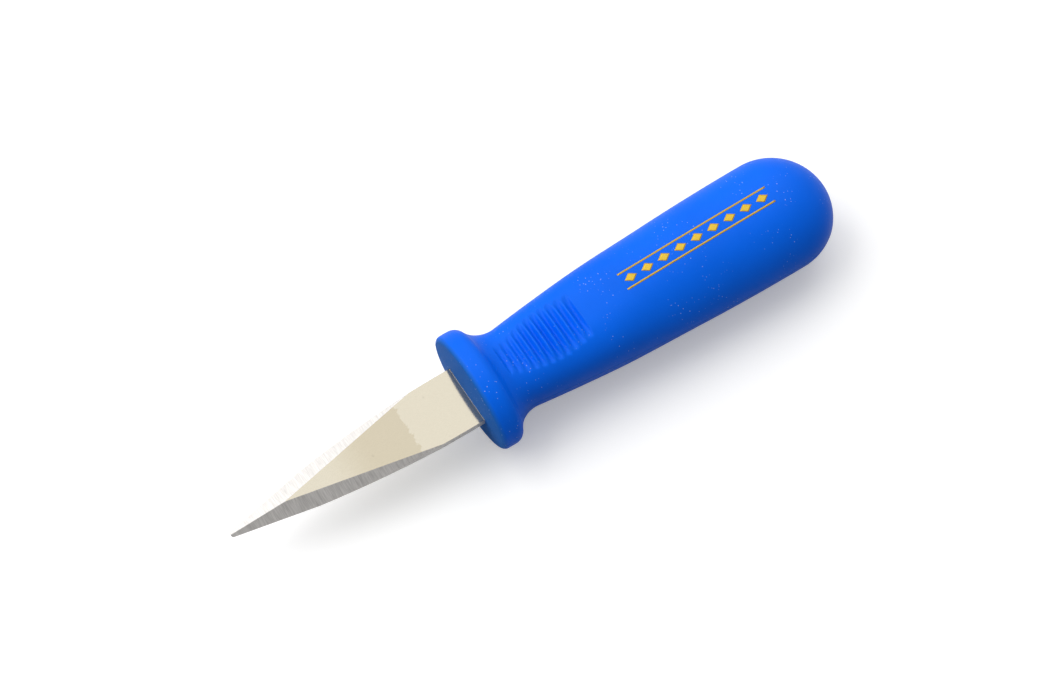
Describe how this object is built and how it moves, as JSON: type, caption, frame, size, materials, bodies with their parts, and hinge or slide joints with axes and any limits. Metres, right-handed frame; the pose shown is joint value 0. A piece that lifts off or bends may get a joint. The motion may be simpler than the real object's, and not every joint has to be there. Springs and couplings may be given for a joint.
{
  "type": "oyster knife",
  "caption": "Short pointed steel blade, ground on both edges, moulded into a stout oval plastic handle with an integral guard and ribbed thumb rests.",
  "frame": {"origin": "under the middle of the knife's length and width, level with the lowest point of the guard's rim", "axes": "+X from the point of the blade to the butt of the handle, +Y across the blade, +Z square to the blade's flat"},
  "size_m": [0.154, 0.0294, 0.0226],
  "materials": {
    "blade_steel": "stainless steel, flats polished satin, bevels left with fine grinding lines across them",
    "handle_plastic": "moulded polypropylene, semi-gloss, with a very fine grain"
  },
  "bodies": {
    "root": {"blade": "blade_steel", "handle": "handle_plastic"}
  },
  "joints": []
}
